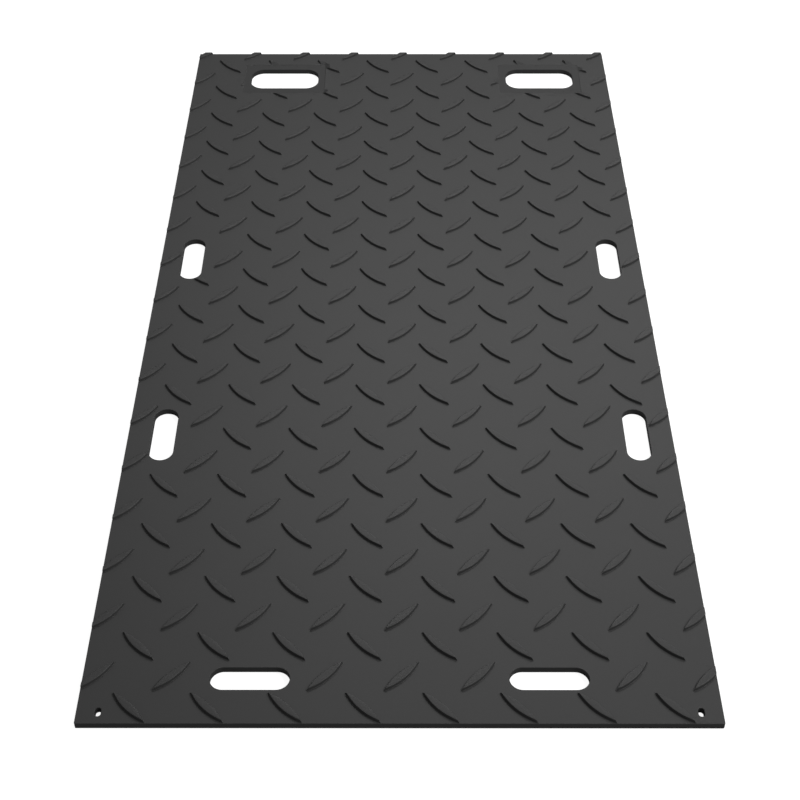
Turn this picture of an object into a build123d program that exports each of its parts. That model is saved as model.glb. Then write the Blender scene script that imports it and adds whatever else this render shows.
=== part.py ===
from build123d import *
import math
import os

# Sheet, with the front end towards -Y and its underside on Z = 0
mat_width = 1220.0
mat_length = 2440.0
sheet_thickness = 15.0
corner_radius = 4.0

# Tread lugs, lens shaped in plan, in two families that lean opposite ways. Each of a lug's two
# long sides follows an arc in a few flat facets.
lug_length = 102.0
lug_width = 24.0
lug_facets = 4
lug_height = 6.0
lug_draft = 20.0
lug_lean = 45.0
tread_pitch_across = 147.5
tread_pitch_along = 145.5
tread_offset_across = 4.0
first_row_in = 35.5

# Obround handholds, two near the front end and two slightly larger ones along each side
front_handhold_length = 154.0
front_handhold_width = 52.0
side_handhold_length = 163.0
side_handhold_width = 54.0
front_handhold_out = 288.0
front_handhold_in = 104.0
side_handhold_in = 79.5
first_side_handhold = 778.0
second_side_handhold = 1422.0

# Large lifting slots near the back end, each in a plain sunken panel
lift_slot_length = 199.0
lift_slot_width = 105.0
lift_slot_corner = 38.0
left_lift_slot_out = 344.5
right_lift_slot_out = 411.0
lift_slot_in = 143.0
panel_length = 240.0
panel_width = 160.0
panel_corner = 6.0
panel_depth = 1.0
panel_draft = 60.0

# Rounded rims of the handholds and lifting slots, on both faces
rim_radius = 1.0

# Pin slots through the two front corners
pin_slot_length = 19.0
pin_slot_width = 11.5
pin_slot_side_in = 41.5
pin_slot_front_in = 26.5

front = -mat_length / 2
back = mat_length / 2
side = mat_width / 2
top = Pos(0, 0, sheet_thickness)


def lug():
    """One lug with drafted sides, standing on the sheet with its long axis on X."""
    half_length, half_width = lug_length / 2, lug_width / 2
    arcs = [
        ThreePointArc((-half_length, 0), (0, -half_width), (half_length, 0)),
        ThreePointArc((half_length, 0), (0, half_width), (-half_length, 0)),
    ]
    corners = [arc @ (n / lug_facets) for arc in arcs for n in range(lug_facets)]
    lens = make_face(Polyline(*corners, close=True))
    return top * extrude(lens, amount=lug_height, taper=lug_draft)


def steps(start, pitch, low, high):
    """Every value start + n * pitch, for whole n, between low and high."""
    first = math.ceil((low - start) / pitch)
    last = math.floor((high - start) / pitch)
    return [start + n * pitch for n in range(first, last + 1)]


def family(across, along, lean):
    """Places of one family of lugs, on a regular grid that runs out over the sheet's edges."""
    reach = lug_length / 2
    return [
        Pos(x, y) * Rot(0, 0, lean)
        for x in steps(across, tread_pitch_across, -side - reach, side + reach)
        for y in steps(along, tread_pitch_along, front - reach, back + reach)
    ]


def handholds():
    """Outlines of the six obround handholds."""
    across = SlotOverall(front_handhold_length, front_handhold_width)
    along = Rot(0, 0, 90) * SlotOverall(side_handhold_length, side_handhold_width)
    row, column = front + front_handhold_in, side - side_handhold_in
    return [Pos(x, row) * across for x in (-front_handhold_out, front_handhold_out)] + [
        Pos(x, front + y) * along
        for x in (-column, column)
        for y in (first_side_handhold, second_side_handhold)
    ]


def at_lift_slots(outline):
    """An outline repeated at both lifting slots."""
    row = back - lift_slot_in
    return [Pos(x, row) * outline for x in (-left_lift_slot_out, right_lift_slot_out)]


def pin_slots():
    """Outlines of the obround pin slots, lengthwise in the two front corners."""
    hole = Rot(0, 0, 90) * SlotOverall(pin_slot_length, pin_slot_width)
    column, row = side - pin_slot_side_in, front + pin_slot_front_in
    return [Pos(x, row) * hole for x in (-column, column)]


def through(outlines):
    """Straight cutters through the whole sheet."""
    return [extrude(outline, amount=sheet_thickness) for outline in outlines]


outline = RectangleRounded(mat_width, mat_length, corner_radius)
grips = handholds()
lift_slots = at_lift_slots(RectangleRounded(lift_slot_length, lift_slot_width, lift_slot_corner))
panels = at_lift_slots(RectangleRounded(panel_length, panel_width, panel_corner))

# The sheet with its sunken panels, then its handholds and lifting slots with rounded rims
sheet = extrude(outline, amount=sheet_thickness)
for panel in panels:
    sheet -= extrude(top * panel, amount=-panel_depth, taper=panel_draft)
openings = through(grips + lift_slots)
open_sheet = sheet - openings
rims = [
    edge
    for edge in new_edges(sheet, *openings, combined=open_sheet)
    if edge.bounding_box().size.Z < rim_radius
]
sheet = fillet(rims, rim_radius) - through(pin_slots())

# The tread. A lug whose middle falls in a handhold is left out. The others end flush at the
# sheet's edges and at the rims of the handholds, and at the panels they end in the panels' slope.
leaning_right = family(
    tread_offset_across, front + first_row_in + tread_pitch_along / 2, lug_lean
)
leaning_left = family(
    tread_offset_across + tread_pitch_across / 2, front + first_row_in, -lug_lean
)
places = [
    place
    for place in leaning_right + leaning_left
    if not any(grip.face().is_inside(place.position) for grip in grips)
]
bare = [offset(opening, rim_radius) for opening in grips + lift_slots]
field = top * extrude(outline - bare, amount=lug_height)
for panel in panels:
    field -= extrude(top * panel, amount=lug_height, taper=-panel_draft)
one_lug = lug()
tread = []
for place in places:
    trimmed = field & (place * one_lug)
    if trimmed:
        tread += trimmed.solids()

ground_mat = sheet + tread

os.makedirs("parts", exist_ok=True)
export_step(ground_mat, "parts/ground_mat.step")
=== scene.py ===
import math
import bmesh
import bpy
from mathutils import Matrix, Vector


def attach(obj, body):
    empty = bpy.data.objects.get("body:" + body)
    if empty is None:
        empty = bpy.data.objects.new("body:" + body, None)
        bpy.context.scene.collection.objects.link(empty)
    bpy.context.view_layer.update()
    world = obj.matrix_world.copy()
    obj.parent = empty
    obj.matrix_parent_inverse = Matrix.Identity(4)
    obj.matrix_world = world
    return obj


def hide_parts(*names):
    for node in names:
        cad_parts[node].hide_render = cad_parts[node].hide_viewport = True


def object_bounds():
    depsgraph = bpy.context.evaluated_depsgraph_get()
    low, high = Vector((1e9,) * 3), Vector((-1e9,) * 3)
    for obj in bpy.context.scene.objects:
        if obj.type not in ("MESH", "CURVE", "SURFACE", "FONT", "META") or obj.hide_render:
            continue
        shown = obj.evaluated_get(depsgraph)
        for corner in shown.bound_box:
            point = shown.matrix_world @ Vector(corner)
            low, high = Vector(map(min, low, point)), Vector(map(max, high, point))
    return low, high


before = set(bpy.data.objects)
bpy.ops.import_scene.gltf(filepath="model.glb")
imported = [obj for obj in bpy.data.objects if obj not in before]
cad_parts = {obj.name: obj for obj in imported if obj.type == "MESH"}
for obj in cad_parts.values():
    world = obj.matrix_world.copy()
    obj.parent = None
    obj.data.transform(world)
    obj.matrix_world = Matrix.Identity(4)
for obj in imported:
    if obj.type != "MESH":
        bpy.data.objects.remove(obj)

cad_low, cad_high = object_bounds()
scene = bpy.context.scene


# The sheet: one plate of black high density polyethylene, 15 mm thick, pressed flat in a mould.
# Its edges come out of the mould a little rounded, and it lies loose on the ground by its weight.
mm = 0.001
sheet_width = cad_high[0] - cad_low[0]
sheet_length = cad_high[1] - cad_low[1]
sheet_thickness = 15.0 * mm
sheet_corner = 3.0 * mm
sheet_corner_steps = 6
sheet_edge_round = 0.9 * mm
sheet_edge_steps = 3
front = cad_low[1]
back = cad_high[1]
side = sheet_width / 2


def rounded_outline(length, width, corner, steps):
    """A rounded rectangle round the origin, as a function of how far it is grown outwards."""
    along, across = length / 2 - corner, width / 2 - corner
    same_point = 1e-7

    def outline(grown):
        points = []
        for quarter, (x, y) in enumerate(((1, 1), (-1, 1), (-1, -1), (1, -1))):
            for n in range(steps + 1):
                angle = (quarter + n / steps) * math.pi / 2
                reach = corner + grown
                point = Vector((
                    x * along + reach * math.cos(angle), y * across + reach * math.sin(angle)
                ))
                if not points or (point - points[-1]).length > same_point:
                    points.append(point)
        if (points[0] - points[-1]).length < same_point:
            points.pop()
        return points

    return outline


def arc(centre, radius, start, end, steps):
    """Points (grown, height) along an arc of a section, with its angles in degrees."""
    angles = [math.radians(start + (end - start) * n / steps) for n in range(steps + 1)]
    return [
        (centre[0] + radius * math.cos(a), centre[1] + radius * math.sin(a)) for a in angles
    ]


def add_shell(mesh, outline, section, place=Matrix()):
    """Adds a closed shell to a mesh: one ring of the outline for each point of the section."""
    rings = [
        [mesh.verts.new(place @ Vector((*point, height))) for point in outline(grown)]
        for grown, height in section
    ]
    for low, high in zip(rings, rings[1:]):
        for n in range(len(low)):
            mesh.faces.new((low[n - 1], low[n], high[n], high[n - 1]))
    mesh.faces.new(list(reversed(rings[0])))
    mesh.faces.new(rings[-1])


def piece(name, mesh):
    """A mesh as an object in the scene."""
    data = bpy.data.meshes.new(name)
    mesh.to_mesh(data)
    mesh.free()
    made = bpy.data.objects.new(name, data)
    scene.collection.objects.link(made)
    return made


sheet_outline = rounded_outline(sheet_width, sheet_length, sheet_corner, sheet_corner_steps)
lower_edge = (-sheet_edge_round, sheet_edge_round)
upper_edge = (-sheet_edge_round, sheet_thickness - sheet_edge_round)
sheet_section = (
    arc(lower_edge, sheet_edge_round, -90, 0, sheet_edge_steps)
    + arc(upper_edge, sheet_edge_round, 0, 90, sheet_edge_steps)
)
mesh = bmesh.new()
add_shell(mesh, sheet_outline, sheet_section)
mat = piece("ground_protection_mat", mesh)


# The handholds: six obround openings moulded through the sheet, two near the front end and two
# slightly larger ones along each side. Their rims are rounded on both faces, so that they are
# easy on hands and straps.
front_handhold = (154.0 * mm, 52.0 * mm)
side_handhold = (163.0 * mm, 54.0 * mm)
front_handhold_out = 288.0 * mm
front_handhold_in = 104.0 * mm
side_handhold_in = 79.5 * mm
side_handholds = (778.0 * mm, 1422.0 * mm)
rim_radius = 1.0 * mm
rim_steps = 5
opening_corner_steps = 14
below_sheet = 1.0 * mm
above_sheet = cad_high[2] - sheet_thickness + 1.0 * mm


def opening_section(rim):
    """An opening's wall, with a rounded rim on both faces, run on clear of the sheet and lugs."""
    low = arc((rim, rim), rim, 270, 180, rim_steps)
    high = arc((rim, sheet_thickness - rim), rim, 180, 90, rim_steps)
    return [(rim, -below_sheet)] + low + high + [(rim, sheet_thickness + above_sheet)]


def obround(length, width, steps):
    """The outline of a slot with two half round ends."""
    return rounded_outline(length, width, width / 2, steps)


lengthwise = Matrix.Rotation(math.pi / 2, 4, "Z")
handholds = [
    (Matrix.Translation((x, front + front_handhold_in, 0)), *front_handhold)
    for x in (-front_handhold_out, front_handhold_out)
] + [
    (Matrix.Translation((x, front + y, 0)) @ lengthwise, *side_handhold)
    for x in (side_handhold_in - side, side - side_handhold_in)
    for y in side_handholds
]
openings = bmesh.new()
for place, length, width in handholds:
    outline = obround(length, width, opening_corner_steps)
    add_shell(openings, outline, opening_section(rim_radius), place)


# The tread: lens shaped lugs in two families that lean opposite ways, moulded with the sheet.
# Their sides are drafted so that they leave the mould, with a small fillet at the foot and a
# rounded top edge. They end flush at the sheet's edges, and in a slope at the handholds.
lug_length = 98.0 * mm
lug_width = 19.0 * mm
lug_height = 6.0 * mm
lug_draft = math.radians(17)
lug_lean = math.radians(45)
lug_foot_fillet = 0.8 * mm
lug_top_round = 1.4 * mm
lug_round_steps = 3
lug_crown = 0.12 * mm
lug_crown_rings = (0.75, 0.45, 0.15)
lug_sunk = 0.02 * mm
lug_root = 1.0 * mm
lug_steps = 10
lug_free_rim = 1.7 * mm
tread_pitch_across = 147.5 * mm
tread_pitch_along = 145.5 * mm
tread_offset_across = 4.0 * mm
first_row_in = 35.5 * mm


def lens_outline(grown):
    """A lug's outline, two arcs that meet in a point at both ends."""
    radius = ((lug_length / 2) ** 2 + (lug_width / 2) ** 2) / lug_width
    centre = radius - lug_width / 2
    half = math.acos(centre / (radius + grown))
    points = []
    for flank in (-1, 1):
        for n in range(lug_steps):
            angle = half * (2 * n / lug_steps - 1)
            points.append(Vector((
                -flank * (radius + grown) * math.sin(angle),
                flank * ((radius + grown) * math.cos(angle) - centre),
            )))
    return points


def lug_section():
    """A lug's section, from its root in the sheet to its slightly crowned top."""
    slope = math.degrees(lug_draft)
    foot = (lug_foot_fillet * (1 - math.sin(lug_draft)) / math.cos(lug_draft), lug_foot_fillet)
    rise = lug_height - lug_crown - lug_top_round
    top = (-(lug_top_round + rise * math.sin(lug_draft)) / math.cos(lug_draft), rise)
    shoulder = lug_width / 2 + top[0]
    fall = math.degrees(math.atan(2 * lug_crown / shoulder))
    crown = [
        (share * shoulder - lug_width / 2, lug_height - lug_crown * share ** 2)
        for share in lug_crown_rings
    ]
    return (
        [(foot[0], -lug_root)]
        + arc(foot, lug_foot_fillet, 270, 180 + slope, lug_round_steps)
        + arc(top, lug_top_round, slope, 90 - fall, lug_round_steps)
        + crown
    )


def steps_between(start, pitch, low, high):
    """Every value start + n * pitch between low and high."""
    first = math.ceil((low - start) / pitch)
    last = math.floor((high - start) / pitch)
    return [start + n * pitch for n in range(first, last + 1)]


def family(across, along, lean):
    """Places of one family of lugs, on a grid that runs out over the sheet's edges."""
    reach = lug_length / 2
    return [
        Matrix.Translation((x, y, sheet_thickness - lug_sunk)) @ Matrix.Rotation(lean, 4, "Z")
        for x in steps_between(across, tread_pitch_across, -side - reach, side + reach)
        for y in steps_between(along, tread_pitch_along, front - reach, back + reach)
    ]


def in_a_handhold(lug):
    """Whether a lug's middle falls in a handhold, where the mould has no lug."""
    for place, length, width in handholds:
        x, y = (place.inverted() @ lug.translation).xy
        past = max(abs(x) - (length - width) / 2, 0)
        if math.hypot(past, y) < width / 2:
            return True
    return False


def join(base, operation, tool):
    """Joins a tool to a base, or trims the base with it, and puts the tool away."""
    step = base.modifiers.new(tool.name, "BOOLEAN")
    step.operation = operation
    step.solver = "MANIFOLD"
    step.object = tool
    done = bpy.data.meshes.new_from_object(
        base.evaluated_get(bpy.context.evaluated_depsgraph_get())
    )
    base.modifiers.clear()
    base.data = done
    bpy.data.objects.remove(tool)


leaning_right = family(tread_offset_across, front + first_row_in + tread_pitch_along / 2, lug_lean)
leaning_left = family(tread_offset_across + tread_pitch_across / 2, front + first_row_in, -lug_lean)
section = lug_section()
mesh = bmesh.new()
for lug in leaning_right + leaning_left:
    if not in_a_handhold(lug):
        add_shell(mesh, lens_outline, section, lug)
tread = piece("tread", mesh)

field_section = [
    (-sheet_edge_round, sheet_thickness - 2 * lug_root),
    (-sheet_edge_round, sheet_thickness + above_sheet),
]
mesh = bmesh.new()
add_shell(mesh, sheet_outline, field_section)
join(tread, "INTERSECT", piece("field", mesh))

slope_section = [
    (lug_free_rim + height, sheet_thickness + height) for height in (-1.5 * lug_root, above_sheet)
]
mesh = bmesh.new()
for place, length, width in handholds:
    add_shell(mesh, obround(length, width, opening_corner_steps), slope_section, place)
join(tread, "DIFFERENCE", piece("lug_ends", mesh))
join(mat, "UNION", tread)


# The lifting slots: two large openings near the back end for a hook, a chain or a strap, moulded
# each in a plain sunken panel with sloping sides, in which the lugs beside it end too.
lift_slot_length = 199.0 * mm
lift_slot_width = 105.0 * mm
lift_slot_corner = 38.0 * mm
lift_slots_out = (-344.5 * mm, 411.0 * mm)
lift_slot_in = 143.0 * mm
panel_length = 240.0 * mm
panel_width = 160.0 * mm
panel_corner = 6.0 * mm
panel_corner_steps = 6
panel_depth = 1.0 * mm
panel_draft = math.radians(60)
panel_foot_height = 0.1
panel_foot_spread = 0.15

panel_run = panel_depth * math.tan(panel_draft)
panel_floor = sheet_thickness - panel_depth
panel_section = [
    (-(1 + panel_foot_spread) * panel_run, panel_floor),
    (-(1 - panel_foot_height) * panel_run, panel_floor + panel_foot_height * panel_depth),
    (0, sheet_thickness),
    (above_sheet * math.tan(panel_draft), sheet_thickness + above_sheet),
]
panel_outline = rounded_outline(panel_length, panel_width, panel_corner, panel_corner_steps)
lift_slot_outline = rounded_outline(
    lift_slot_length, lift_slot_width, lift_slot_corner, opening_corner_steps
)
lift_slots = [Vector((x, back - lift_slot_in, 0)) for x in lift_slots_out]
mesh = bmesh.new()
for slot in lift_slots:
    add_shell(mesh, panel_outline, panel_section, Matrix.Translation(slot))
    add_shell(openings, lift_slot_outline, opening_section(rim_radius), Matrix.Translation(slot))
join(mat, "DIFFERENCE", piece("panels", mesh))


# The pin slots: a small obround hole through each front corner, lengthwise, for a ground pin or a
# connector bolt. They complete the openings, which are cut here through sheet and lugs at once.
pin_slot_length = 19.0 * mm
pin_slot_width = 11.5 * mm
pin_slot_side_in = 41.5 * mm
pin_slot_front_in = 26.5 * mm
pin_slot_rim = 1.2 * mm
pin_slot_corner_steps = 8
smooth_up_to = math.radians(40)

for x in (pin_slot_side_in - side, side - pin_slot_side_in):
    add_shell(
        openings,
        obround(pin_slot_length, pin_slot_width, pin_slot_corner_steps),
        opening_section(pin_slot_rim),
        Matrix.Translation((x, front + pin_slot_front_in, 0)) @ lengthwise,
    )
join(mat, "DIFFERENCE", piece("openings", openings))

mat.data.shade_smooth()
mat.data.set_sharp_from_angle(angle=smooth_up_to)
even = mat.modifiers.new("even_shading", "WEIGHTED_NORMAL")
even.keep_sharp = True


# The plastic: black polyethylene with the faint grain of the mould's face. In the sunken panels
# it is matter, and its colour there is painted a little darker as shade in the recess.
sheet_black = (0.036, 0.036, 0.036, 1)
sheet_roughness = 0.46
# The panels' darker colour is painted shade for the sunken panel; their higher roughness is the
# real matter face.
panel_black_painted_shade = (0.030, 0.030, 0.030, 1)
panel_roughness = 0.55
grain_size = 1.2 * mm
grain_depth = 0.12 * mm
grain_strength = 0.35
grain_roughness = 0.12
drift_per_metre = 5
drift_low = 0.94
drift_high = 1.06


def moulded_grain():
    """The grain and the slow drift of tone of a moulded face."""
    group = bpy.data.node_groups.new("moulded_grain", "ShaderNodeTree")
    group.interface.new_socket("Grain Size", in_out="INPUT", socket_type="NodeSocketFloat")
    group.interface.new_socket("Colour", in_out="INPUT", socket_type="NodeSocketColor")
    group.interface.new_socket("Roughness", in_out="INPUT", socket_type="NodeSocketFloat")
    group.interface.new_socket("Colour", in_out="OUTPUT", socket_type="NodeSocketColor")
    group.interface.new_socket("Roughness", in_out="OUTPUT", socket_type="NodeSocketFloat")
    group.interface.new_socket("Height", in_out="OUTPUT", socket_type="NodeSocketFloat")
    nodes, links = group.nodes, group.links
    given = nodes.new("NodeGroupInput")
    out = nodes.new("NodeGroupOutput")
    where = nodes.new("ShaderNodeTexCoord")

    per_metre = nodes.new("ShaderNodeMath")
    per_metre.operation = "DIVIDE"
    per_metre.inputs[0].default_value = 1.0
    links.new(given.outputs["Grain Size"], per_metre.inputs[1])
    grain = nodes.new("ShaderNodeTexNoise")
    grain.inputs["Detail"].default_value = 3
    links.new(where.outputs["Object"], grain.inputs["Vector"])
    links.new(per_metre.outputs[0], grain.inputs["Scale"])
    links.new(grain.outputs["Fac"], out.inputs["Height"])

    drift = nodes.new("ShaderNodeTexNoise")
    drift.inputs["Scale"].default_value = drift_per_metre
    drift.inputs["Detail"].default_value = 4
    links.new(where.outputs["Object"], drift.inputs["Vector"])
    shade = nodes.new("ShaderNodeMapRange")
    shade.inputs["To Min"].default_value = drift_low
    shade.inputs["To Max"].default_value = drift_high
    links.new(drift.outputs["Fac"], shade.inputs["Value"])
    tint = nodes.new("ShaderNodeVectorMath")
    tint.operation = "SCALE"
    links.new(given.outputs["Colour"], tint.inputs[0])
    links.new(shade.outputs["Result"], tint.inputs["Scale"])
    links.new(tint.outputs["Vector"], out.inputs["Colour"])

    rough = nodes.new("ShaderNodeMath")
    rough.operation = "MULTIPLY_ADD"
    rough.inputs[1].default_value = grain_roughness
    links.new(grain.outputs["Fac"], rough.inputs[0])
    links.new(given.outputs["Roughness"], rough.inputs[2])
    links.new(rough.outputs[0], out.inputs["Roughness"])
    return group


grain_group = moulded_grain()


def polyethylene(name, colour, roughness):
    """Black moulded polyethylene."""
    material = bpy.data.materials.new(name)
    material.use_nodes = True
    nodes, links = material.node_tree.nodes, material.node_tree.links
    shader = nodes["Principled BSDF"]
    grain = nodes.new("ShaderNodeGroup")
    grain.node_tree = grain_group
    grain.inputs["Grain Size"].default_value = grain_size
    grain.inputs["Colour"].default_value = colour
    grain.inputs["Roughness"].default_value = roughness
    bump = nodes.new("ShaderNodeBump")
    bump.inputs["Strength"].default_value = grain_strength
    bump.inputs["Distance"].default_value = grain_depth
    links.new(grain.outputs["Height"], bump.inputs["Height"])
    links.new(grain.outputs["Colour"], shader.inputs["Base Color"])
    links.new(grain.outputs["Roughness"], shader.inputs["Roughness"])
    links.new(bump.outputs["Normal"], shader.inputs["Normal"])
    shader.inputs["IOR"].default_value = 1.5
    shader.inputs["Specular IOR Level"].default_value = 0.4
    return material


def in_a_panel(centre):
    """Whether a face with this centre is part of a panel's floor or its sloping sides, painted
    darker as shade.
    """
    depth = sheet_thickness - centre.z
    return 0.05 * panel_depth < depth < 1.5 * panel_depth and any(
        abs(centre.x - slot.x) < panel_length / 2 and abs(centre.y - slot.y) < panel_width / 2
        for slot in lift_slots
    )


mat.data.materials.clear()
mat.data.materials.append(polyethylene("moulded_black", sheet_black, sheet_roughness))
mat.data.materials.append(polyethylene("panel_black_painted_shade", panel_black_painted_shade, panel_roughness))
# Faces in the panels take the darker material, whose darker colour is painted shade.
for face in mat.data.polygons:
    face.material_index = 1 if in_a_panel(face.center) else 0
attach(mat, "root")
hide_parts("ground_mat")


# The floor: a plain pale studio floor that the mat lies on. Seen straight on it is lifted to
# white, and it still takes the mat's own shadow.
floor_size = 40.0
floor_drop = 0.2 * mm
floor_tone = (0.35, 0.35, 0.35, 1)
floor_lift = 0.9

mesh = bmesh.new()
bmesh.ops.create_grid(
    mesh, x_segments=2, y_segments=2, size=floor_size / 2,
    matrix=Matrix.Translation((0, 0, cad_low[2] - floor_drop)),
)
studio_floor = piece("studio_floor", mesh)
floor_paint = bpy.data.materials.new("floor_paint")
floor_paint.use_nodes = True
nodes, links = floor_paint.node_tree.nodes, floor_paint.node_tree.links
nodes.clear()
matt = nodes.new("ShaderNodeBsdfDiffuse")
matt.inputs["Color"].default_value = floor_tone
ray = nodes.new("ShaderNodeLightPath")
lift = nodes.new("ShaderNodeMath")
lift.operation = "MULTIPLY"
lift.inputs[1].default_value = floor_lift
links.new(ray.outputs["Is Camera Ray"], lift.inputs[0])
white = nodes.new("ShaderNodeEmission")
links.new(lift.outputs[0], white.inputs["Strength"])
both = nodes.new("ShaderNodeAddShader")
links.new(matt.outputs[0], both.inputs[0])
links.new(white.outputs[0], both.inputs[1])
surface = nodes.new("ShaderNodeOutputMaterial")
links.new(both.outputs[0], surface.inputs["Surface"])
studio_floor.data.materials.append(floor_paint)


# The light: an even pale studio, a soft lamp high up on the right, and two behind the mat that
# give its flat faces their sheen.
studio_level = 0.235
studio_white = 1.0
lamp_size = 1.5
key_place = Vector((4.3, -1.2, 4.55))
key_power = 203
sheen_place = Vector((0, 2.96, 3.52))
sheen_power = 42
corner_place = Vector((1.76, 3.05, 2.96))
corner_power = 26

world = bpy.data.worlds.new("studio")
world.use_nodes = True
scene.world = world
nodes, links = world.node_tree.nodes, world.node_tree.links
ray = nodes.new("ShaderNodeLightPath")
level = nodes.new("ShaderNodeMapRange")
level.inputs["To Min"].default_value = studio_level
level.inputs["To Max"].default_value = studio_white
links.new(ray.outputs["Is Camera Ray"], level.inputs["Value"])
links.new(level.outputs["Result"], nodes["Background"].inputs["Strength"])
nodes["Background"].inputs["Color"].default_value = (1, 1, 1, 1)


def soft_lamp(name, place, power):
    """A square soft lamp turned to the middle of the mat."""
    lamp = bpy.data.lights.new(name, "AREA")
    lamp.size = lamp_size
    lamp.energy = power
    stand = bpy.data.objects.new(name, lamp)
    stand.location = place
    stand.rotation_euler = (-place).to_track_quat("-Z", "Y").to_euler()
    scene.collection.objects.link(stand)


soft_lamp("key_lamp", key_place, key_power)
soft_lamp("sheen_lamp", sheen_place, sheen_power)
soft_lamp("corner_lamp", corner_place, corner_power)


# The camera: standing past the front end and looking down along the mat, as in the photograph.
# It is a plain one, with no shift, and the whole mat is sharp.
camera_place = Vector((0.0059, -2.9074, 2.4028))
camera_turn = math.radians(0.14)
camera_dip = math.radians(42.80)
camera_roll = math.radians(-0.08)
camera_sensor = 36.0
camera_lens = 68.83
camera_reach = 100

camera = bpy.data.cameras.new("camera")
camera.sensor_width = camera_sensor
camera.lens = camera_lens
camera.clip_end = camera_reach
eye = bpy.data.objects.new("camera", camera)
eye.matrix_world = (
    Matrix.Translation(camera_place)
    @ Matrix.Rotation(camera_turn, 4, "Z")
    @ Matrix.Rotation(math.pi / 2 - camera_dip, 4, "X")
    @ Matrix.Rotation(camera_roll, 4, "Z")
)
scene.collection.objects.link(eye)
scene.camera = eye

scene.view_settings.view_transform = "Standard"
